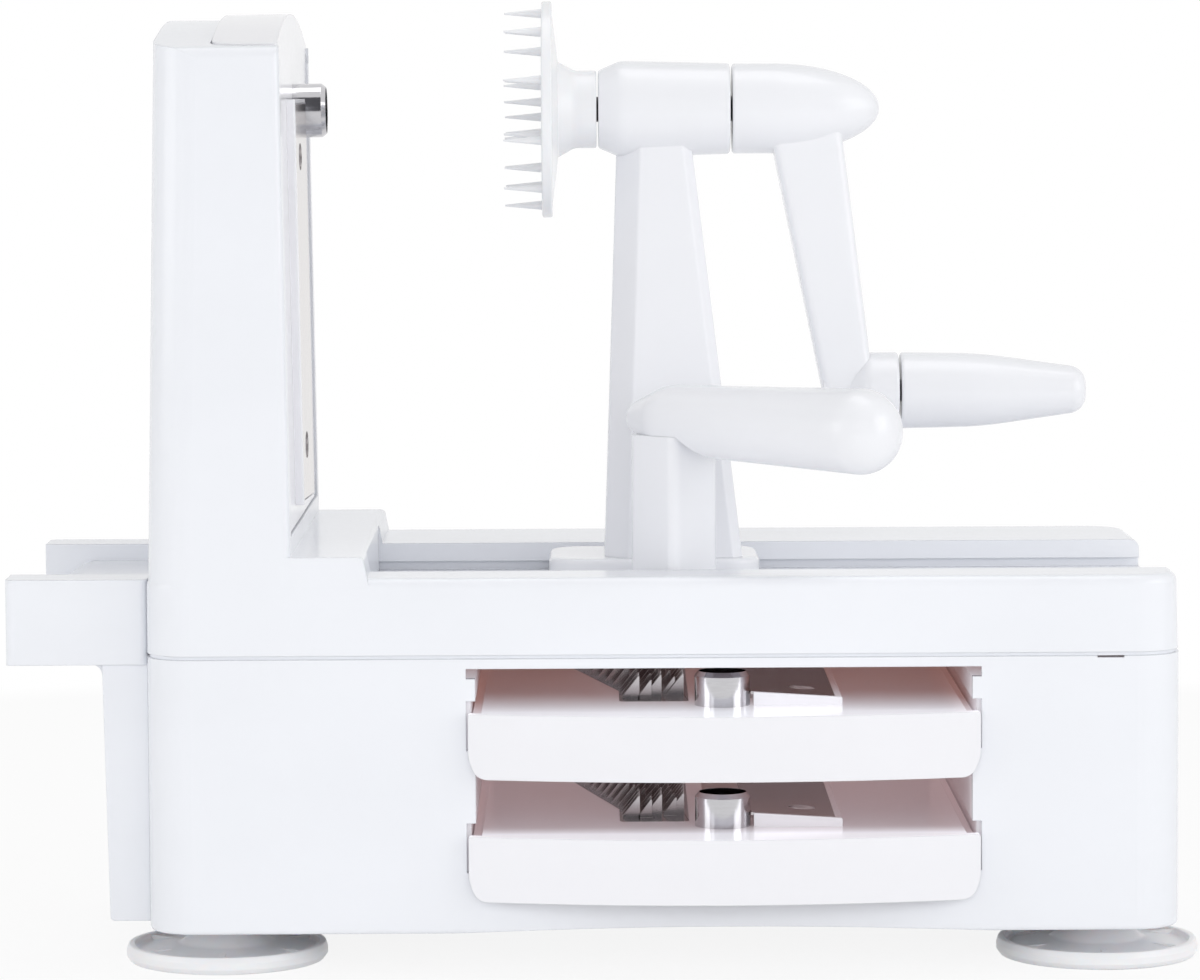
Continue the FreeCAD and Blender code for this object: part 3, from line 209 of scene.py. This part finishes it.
# paints light as emission on the faces inside the drawer bay; underOnly keeps it to the faces that
# look down
def paintBayLight(made, underOnly):
    here = made.source("ShaderNodeNewGeometry")
    x, y, z = made.axes(here["Position"])
    turned = made.axes(here["Normal"])[2]
    depth = y - bayLow[1]
    inside = (x - bayLow[0]).between(*bayLightPaint["skin"]) * (bayHigh[0] - x).between(*bayLightPaint["skin"])
    inside = inside * (bayHigh[1] - y).between(*bayLightPaint["skin"])
    inside = inside * (bayLightPaint["ceiling"] - z).between(0.0, bayLightPaint["ceilingFade"])
    inside = inside * (z - bayLow[2]).between(*bayLightPaint["floor"])
    under = (0.0 - turned).between(*bayLightPaint["level"])
    if underOnly:
        mask, paintedLight = depth.between(*bayLightPaint["skin"]) * inside * under, bayLightPaint["under"]
    else:
        upper = z.between(*bayLightPaint["drawers"])  # 0 on the lower cassette, 1 on the upper one
        reach = upper * (bayLightPaint["nearUpper"] - bayLightPaint["nearLower"]) + bayLightPaint["nearLower"]
        near = 1.0 - depth.between(0.0, reach)
        deep = made.mix(upper, bayLightPaint["deepLower"], bayLightPaint["deepUpper"])
        lowerBack = tuple(v * bayLightPaint["backGain"] for v in bayLightPaint["deepLower"])
        deep = made.mix(depth.between(*bayLightPaint["back"]) * (1.0 - upper), deep, lowerBack)
        paintedLight = made.mix(under, made.mix(near ** bayLightPaint["nearFall"], deep, bayLightPaint["near"]), bayLightPaint["under"])
        up = turned.between(*bayLightPaint["level"])
        share = (up + under) * (1.0 - bayLightPaint["sides"]) + bayLightPaint["sides"]
        onLip = up * depth.between(*bayLightPaint["lip"])
        mask = (depth.between(*bayLightPaint["mouth"]) * share).larger(onLip) * inside
    # the emission is painted light and painted shade, not a lamp
    made.set("Emission Color", made.mix(mask, bayLightPaint["none"], paintedLight))
    made.set("Emission Strength", 1.0)


# moulded plastic: a cloudy depth in the colour, orange peel and slow waves in the gloss, soft edges

plastic = {
    "cloudScale": 16.0,
    "cloudDetail": 4.0,
    "cloudShare": 0.6,
    "flowStretch": (9.0, 9.0, 38.0),
    "flowShare": 0.4,
    "tone": (0.3, 0.7),
    "speckScale": 900.0,
    "waveScale": 42.0,
    "waveHeight": 0.00006,
    "peelScale": 420.0,
    "peelHeight": 0.00003,
    "fineDetail": 2.0,
    "cloudGloss": 0.06,
    "speckGloss": 0.04,
    "middleGloss": 0.05,  # what cloud and specks add on average
    "scatterRadius": (1.0, 0.75, 0.65),
    "scatterScale": 0.004,
}


def mouldedPlastic(name, colour, roughness, shade=0.035, peel=0.10, waves=0.25, edge=0.0004,
                   scatter=0.0, ior=1.46, paintedBayLight=None):
    made = Material(name, IOR=ior)
    # the drawer bay's painted light, on all faces inside the bay or only on those that look down
    if paintedBayLight:
        paintBayLight(made, paintedBayLight == "under")
    place, fine = made.place(), plastic["fineDetail"]
    cloud = made.noise(place, plastic["cloudScale"], plastic["cloudDetail"])
    flow = made.noise(made.stretched(plastic["flowStretch"]), 1.0, fine)
    speck = made.noise(place, plastic["speckScale"], fine)
    tone = (cloud * plastic["cloudShare"] + flow * plastic["flowShare"]).between(*plastic["tone"])
    made.set("Base Color", made.mix(tone, colour, darker(colour, shade)))
    gloss = cloud * plastic["cloudGloss"] + speck * plastic["speckGloss"]
    made.set("Roughness", gloss + (roughness - plastic["middleGloss"]))
    wave = made.noise(place, plastic["waveScale"], fine)
    slow = made.bump(wave, waves, plastic["waveHeight"], made.softEdge(edge))
    skin = made.noise(place, plastic["peelScale"], fine)
    made.set("Normal", made.bump(skin, peel, plastic["peelHeight"], slow))
    if scatter:
        made.set("Subsurface Weight", scatter)
        made.set("Subsurface Radius", plastic["scatterRadius"])
        made.set("Subsurface Scale", plastic["scatterScale"])
    return made


# steel: fine lines along the way it was ground or turned

steel = {
    "grainDetail": 4.0,
    "grainRoughness": 0.6,
    "grainShare": 0.65,
    "smearScale": 60.0,
    "smearDetail": 3.0,
    "smearShare": 0.35,
    "tone": (0.25, 0.75),
    "grainGloss": 0.12,
    "smearGloss": 0.10,
    "middleGloss": 0.1,  # what grain and smears add on average
    "grainHeight": 0.00002,
}


def groundSteel(name, colour, roughness, lines, depth=0.25, dark=0.2, edge=0.00015):
    made = Material(name, Metallic=1.0)
    stretched = made.stretched(lines)
    grain = made.noise(stretched, 1.0, steel["grainDetail"], steel["grainRoughness"])
    smear = made.noise(made.place(), steel["smearScale"], steel["smearDetail"])
    tone = (grain * steel["grainShare"] + smear * steel["smearShare"]).between(*steel["tone"])
    made.set("Base Color", made.mix(tone, darker(colour, dark), colour))
    gloss = grain * steel["grainGloss"] + smear * steel["smearGloss"]
    made.set("Roughness", gloss + (roughness - steel["middleGloss"]))
    made.set("Normal", made.bump(grain, depth, steel["grainHeight"], made.softEdge(edge)))
    return made


# the housing, cassettes and guides carry the drawer bay's painted light
finishes = {
    "white_housing": mouldedPlastic("housingWhite", srgb(244, 246, 251), 0.20, paintedBayLight="under"),
    "white_cassette": mouldedPlastic("cassetteWhite", srgb(246, 246, 250), 0.16, edge=0.0003,
                                     paintedBayLight="all"),
    "white_guide": mouldedPlastic("guideWhite", srgb(240, 236, 238), 0.42, peel=0.25,
                                  paintedBayLight="all"),
    "white_carriage": mouldedPlastic("carriageWhite", srgb(246, 247, 251), 0.17, edge=0.0005),
    "white_disc": mouldedPlastic("discWhite", srgb(246, 247, 250), 0.24, edge=0.00025,
                                 scatter=0.15),
    "bush_plastic": mouldedPlastic("bushGrey", srgb(150, 146, 142), 0.45, peel=0.3),
    "foot_rubber": mouldedPlastic("footRubber", srgb(252, 249, 252), 0.30, shade=0.04,
                                  waves=0.5, edge=0.0003, scatter=0.6, ior=1.41),
    "blade_steel": groundSteel("bladeSteel", srgb(226, 222, 221), 0.20, (60.0, 2200.0, 60.0)),
    "ring_steel": groundSteel("ringSteel", srgb(206, 205, 208), 0.10, (300.0, 300.0, 1800.0),
                              depth=0.15, dark=0.12),
    "shaft_steel": groundSteel("shaftSteel", srgb(92, 92, 94), 0.30, (2400.0, 200.0, 200.0)),
    "screw_steel": groundSteel("screwSteel", srgb(176, 174, 170), 0.32, (500.0, 500.0, 900.0)),
}

for entry in frame["record"]["subparts"]:
    node = frame["nodes"][entry["node"]]
    node.data.materials.clear()
    node.data.materials.append(finishes[entry["material_slot"]].material)
print("finishes set:", len(finishes))


# combs: the wing of each sheet beside its ring, and the tall teeth bent up in three rows

combs = {
    "wall": 0.0006,
    "front": 0.0184,  # width of the sheet at its front
    "bend": 0.022,  # from here back the left edge runs outwards
    "innerBack": 0.0006,
    "rows": 3,
    "pitch": {"upper": 0.0085, "lower": 0.0065},
    "inset": 0.007,
    "leftMargin": 0.0032,
    "rightMargin": 0.0034,
    "toothWidth": 0.0046,
    "toothHeight": 0.0058,
    "toothRoot": 0.0005,
    "toothTip": 0.00035,
    "wingLow": -0.00005,
    "wingHigh": 0.00012,
    "wingFar": 0.0068,
}


def addPrism(corners, shift, points, faces):
    # a flat outline and its copy moved by shift, joined all round
    first, count = len(points), len(corners)
    points.extend(corners)
    points.extend(tuple(a + b for a, b in zip(corner, shift)) for corner in corners)
    faces.append(tuple(range(first, first + count)))
    faces.append(tuple(range(first + 2 * count - 1, first + count - 1, -1)))
    for index in range(count):
        after = (index + 1) % count
        faces.append((first + after, first + index, first + count + index,
                      first + count + after))


def combEdges(low, high, depth):
    # left and right edge of the sheet, that far behind its front
    length = high[1] - low[1]
    flare = max(0.0, (depth - combs["bend"]) / (length - combs["bend"]))
    left = high[0] - combs["front"] - flare * (high[0] - combs["front"] - low[0])
    return left, high[0] + combs["innerBack"] * depth / length


def makeComb(tray, pitch):
    low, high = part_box(tray + "_comb_blade")
    face = low[2] + combs["wall"]
    points, faces = [], []
    wing = [(high[0], low[1]), (high[0] + combs["innerBack"], high[1]),
            (high[0] - combs["wingFar"], high[1])]
    addPrism([(x, y, face + combs["wingHigh"]) for x, y in wing],
             (0, 0, combs["wingLow"] - combs["wingHigh"]), points, faces)
    half, top = combs["toothWidth"] / 2, face + combs["toothHeight"]
    for row in range(combs["rows"]):
        depth = combs["inset"] + row * pitch / combs["rows"]
        while depth < high[1] - low[1] - combs["inset"]:
            left, right = combEdges(low, high, depth)
            first, last = left + combs["leftMargin"], right - combs["rightMargin"]
            x, y = first + (last - first) * row / (combs["rows"] - 1), low[1] + depth
            tooth = [(x - half, low[2]), (x + half, low[2]), (x + half, top),
                     (x + half - combs["toothTip"], top), (x - half, face + combs["toothRoot"])]
            addPrism([(u, y, v) for u, v in tooth], (0, combs["wall"], 0), points, faces)
            depth += pitch
    piece = addMesh(tray + "CombTeeth", points, faces, finishes["blade_steel"].material)
    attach(piece, tray + "_cassette")


for tray, pitch in combs["pitch"].items():
    makeComb(tray, pitch)
print("combs made:", len(combs["pitch"]))


# floor: pale, with the object's shadow, and white to the rays that see it directly further out

stage = {
    "halfSize": 4.0,
    "clear": 0.88,  # how white it is beside the object
    "clearing": (0.25, 0.6),  # distances between which it turns all white
    "colour": srgb(252, 252, 252),
    "roughness": 0.55,
    "white": (1.0, 1.0, 1.0),
}


def seenDirectly(made):
    # camera, glossy and transmission rays see the white background
    rays = made.source("ShaderNodeLightPath")
    return rays["Is Camera Ray"].larger(rays["Is Glossy Ray"]).larger(rays["Is Transmission Ray"])


def makeFloor():
    made = Material("floorPale", Roughness=stage["roughness"])
    made.set("Base Color", stage["colour"])
    x, y = made.axes(made.place())[:2]
    reach = (x * x + y * y) ** 0.5
    far = reach.between(*stage["clearing"]).larger(stage["clear"]) * seenDirectly(made)
    white = made.node("ShaderNodeEmission", {}, stage["white"], 1.0)[0]
    pale = Sock(made, made.shader.outputs[0])
    shown = made.node("ShaderNodeMixShader", {}, far, pale, white)[0]
    made.feed(made.tree.nodes["Material Output"].inputs["Surface"], shown)
    half = stage["halfSize"]
    corners = [(-half, -half, 0), (half, -half, 0), (half, half, 0), (-half, half, 0)]
    floor = addMesh("floor", corners, [(0, 1, 2, 3)], made.material)


# lamps: large and soft; the front one isn't mirrored, so that the gloss stays calm

lampAim = (0.0, 0.0, 0.1)
lamps = {
    "front": {"place": (0.2, -1.8, 0.5), "size": (2.6, 0.9), "power": 10.2, "mirrored": False},
    "right": {"place": (1.3, -0.7, 0.55), "size": (0.9, 0.9), "power": 4.6, "mirrored": True},
    "left": {"place": (-1.0, -1.1, 0.45), "size": (0.4, 1.2), "power": 1.4, "mirrored": True},
    "side": {"place": (-1.3, -0.45, 0.4), "size": (0.8, 0.6), "power": 2.4, "mirrored": True},
    "top": {"place": (0.1, 0.1, 1.4), "size": (1.0, 0.5), "power": 2.8, "mirrored": True},
}


def makeLamp(name, place, size, power, mirrored):
    data = bpy.data.lights.new(name, "AREA")
    data.shape = "RECTANGLE"
    data.size, data.size_y = size
    data.energy = power
    made = addObject(name, data)
    made.visible_glossy = mirrored
    made.location = place
    made.rotation_mode = "QUATERNION"
    made.rotation_quaternion = (Vector(lampAim) - Vector(place)).to_track_quat("-Z", "Y")


# flag: a dark card in front, for gloss alone, gives the steel its dark bands

flag = {"y": -2.0, "halfWidth": 2.6, "low": 0.02, "high": 3.6, "tone": (0.10, 0.10, 0.11),
        "unseenBy": ("camera", "diffuse", "transmission", "volume_scatter", "shadow")}


def makeFlag():
    made = Material("flagDark", Roughness=1.0)
    made.set("Base Color", (0.0, 0.0, 0.0))
    made.set("Emission Color", flag["tone"])
    made.set("Emission Strength", 1.0)
    half, low, high, y = flag["halfWidth"], flag["low"], flag["high"], flag["y"]
    corners = [(-half, y, low), (half, y, low), (half, y, high), (-half, y, high)]
    card = addMesh("flag", corners, [(0, 1, 2, 3)], made.material)
    for ray in flag["unseenBy"]:
        setattr(card, "visible_" + ray, False)


# room: even light from all round, and white where it is seen directly

room = {"light": 0.475, "colour": (1.0, 1.0, 1.0)}


class World(Material):
    def __init__(self, name):
        self.world = bpy.data.worlds.new(name)
        self.world.use_nodes = True
        self.tree = self.world.node_tree


def makeRoom():
    made = World("studio")
    background = made.tree.nodes["Background"]
    made.feed(background.inputs["Color"], room["colour"])
    strength = seenDirectly(made) * (1.0 - room["light"]) + room["light"]
    made.feed(background.inputs["Strength"], strength)
    bpy.context.scene.world = made.world


# camera: a long lens in front, a little above the deck; angles in degrees, places in metres

camera = {
    "lens": 146.44,
    "sensor": 36.0,
    "x": -0.00503,
    "standOff": 1.2592,  # from the front face
    "height": 0.2331,
    "pitch": 4.117,
    "yaw": -0.212,
    "roll": -0.3,
    "shiftX": -0.0024,
    "shiftY": -0.05,
}


def makeCamera():
    data = bpy.data.cameras.new("camera")
    data.sensor_width = camera["sensor"]
    data.lens = camera["lens"]
    data.shift_x = camera["shiftX"]
    data.shift_y = camera["shiftY"]
    eye = addObject("camera", data)
    eye.location = (camera["x"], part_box("lower_base")[0][1] - camera["standOff"], camera["height"])
    aim = Euler((math.radians(90 - camera["pitch"]), 0, math.radians(camera["yaw"]))).to_matrix()
    roll = Matrix.Rotation(math.radians(camera["roll"]), 3, "Z")
    eye.rotation_euler = (aim @ roll).to_euler()
    bpy.context.scene.camera = eye


makeFloor()
makeFlag()
for name, lamp in lamps.items():
    makeLamp(name, **lamp)
makeRoom()
makeCamera()
bpy.context.scene.view_settings.view_transform = "Standard"
print("stage, lamps and camera set")
